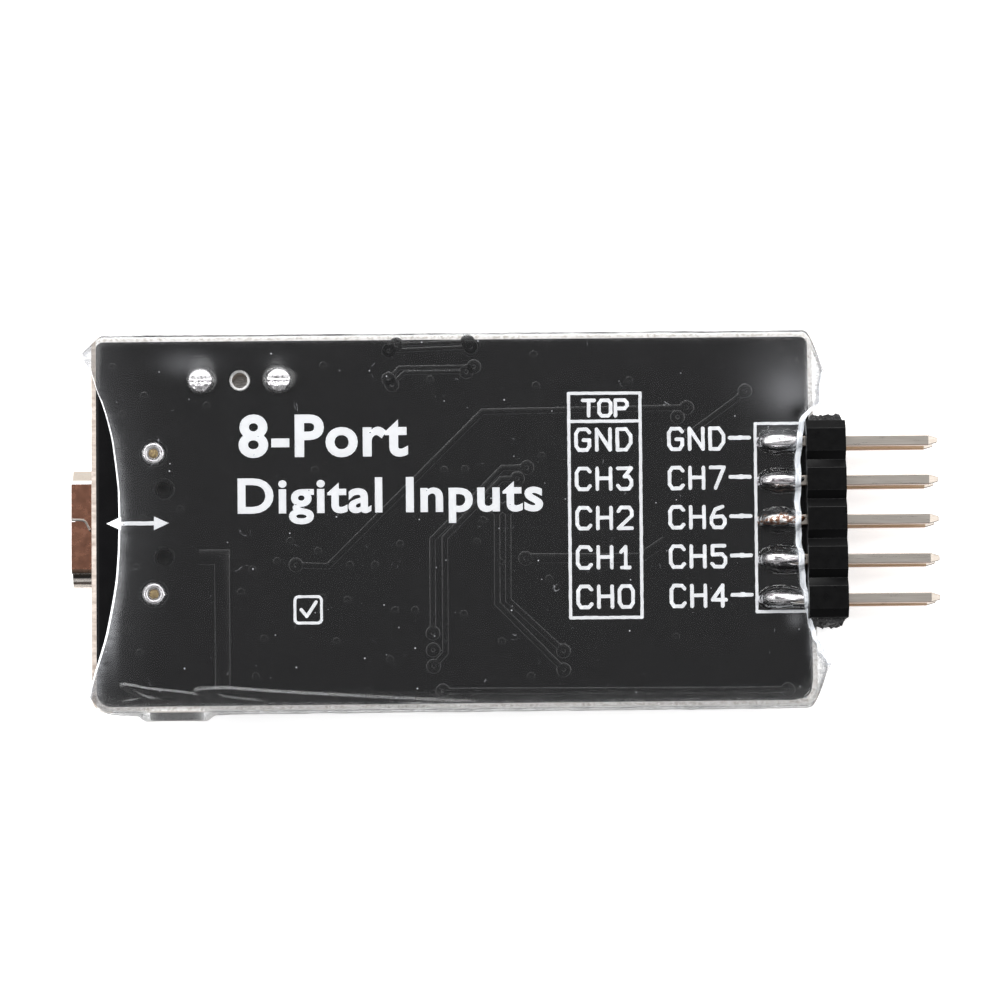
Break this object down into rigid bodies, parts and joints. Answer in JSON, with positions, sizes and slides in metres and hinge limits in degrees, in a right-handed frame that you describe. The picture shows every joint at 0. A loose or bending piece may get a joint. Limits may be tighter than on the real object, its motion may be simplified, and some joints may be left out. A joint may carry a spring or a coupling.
{
  "type": "logic analyzer",
  "caption": "Pocket USB logic analyzer: two-sided circuit board in a clear heat-shrink sleeve, mini-USB socket at one end and a right-angle dual-row pin header at the other.",
  "frame": {"origin": "centre of the sleeve's flat outer face over the label side", "axes": "+X along the board from the USB socket to the pin header, +Z out of the label side, components hang below"},
  "size_m": [0.0559, 0.025, 0.0075],
  "materials": {
    "solder_mask_board": "matte black solder mask over fibreglass",
    "clear_film": "clear glossy heat-shrink film",
    "plated_steel": "nickel plated",
    "gold_plating": "thin gold plating, satin",
    "tin_plating": "tin plated",
    "solder": "bright solder",
    "black_nylon": "satin",
    "socket_insulator": "satin",
    "quartz": "polished",
    "chip_moulding": "matte epoxy",
    "resistor_body": "satin, with tinned ends",
    "capacitor_ceramic": "fired ceramic, with tinned ends",
    "tantalum_moulding": "matte epoxy",
    "fuse_laminate": "satin, with tinned ends",
    "led_lens": "clear lens on a white base"
  },
  "bodies": {
    "board_assembly": {"activity_led": "led_lens", "bulk_capacitor": "tantalum_moulding", "bypass_capacitor_1": "capacitor_ceramic", "bypass_capacitor_2": "capacitor_ceramic", "bypass_capacitor_3": "capacitor_ceramic", "bypass_capacitor_4": "capacitor_ceramic", "circuit_board": "solder_mask_board", "controller_chip": "chip_moulding", "crystal_base": "plated_steel", "crystal_can": "plated_steel", "crystal_lead_left": "solder", "crystal_lead_right": "solder", "crystal_quartz": "quartz", "crystal_solder_left": "solder", "crystal_solder_right": "solder", "header_housing": "black_nylon", "header_pin_lower_1": "gold_plating", "header_pin_lower_2": "gold_plating", "header_pin_lower_3": "gold_plating", "header_pin_lower_4": "gold_plating", "header_pin_lower_5": "gold_plating", "header_pin_upper_1": "gold_plating", "header_pin_upper_2": "gold_plating", "header_pin_upper_3": "gold_plating", "header_pin_upper_4": "gold_plating", "header_pin_upper_5": "gold_plating", "header_solder_lower_1": "solder", "header_solder_lower_2": "solder", "header_solder_lower_3": "solder", "header_solder_lower_4": "solder", "header_solder_lower_5": "solder", "header_solder_upper_1": "solder", "header_solder_upper_2": "solder", "header_solder_upper_3": "solder", "header_solder_upper_4": "solder", "header_solder_upper_5": "solder", "heat_shrink_sleeve": "clear_film", "input_fuse": "fuse_laminate", "led_resistor_1": "resistor_body", "led_resistor_2": "resistor_body", "memory_chip": "chip_moulding", "power_led": "led_lens", "resistor_array_1": "resistor_body", "resistor_array_2": "resistor_body", "switch_cover": "plated_steel", "switch_dome": "plated_steel", "switch_housing": "black_nylon", "switch_terminal_left": "tin_plating", "switch_terminal_right": "tin_plating", "usb_contact_1": "gold_plating", "usb_contact_2": "gold_plating", "usb_contact_3": "gold_plating", "usb_contact_4": "gold_plating", "usb_contact_5": "gold_plating", "usb_insulator": "socket_insulator", "usb_shell": "plated_steel", "usb_stake_solder_left": "solder", "usb_stake_solder_right": "solder", "voltage_regulator": "chip_moulding"},
    "plunger": {"switch_plunger": "black_nylon"}
  },
  "joints": [
    {"name": "switch_press", "type": "slide", "parent": "board_assembly", "child": "plunger", "axis": [0, 1, 0], "range_m": [0, 0.00025], "deforming": ["switch_dome"]}
  ]
}
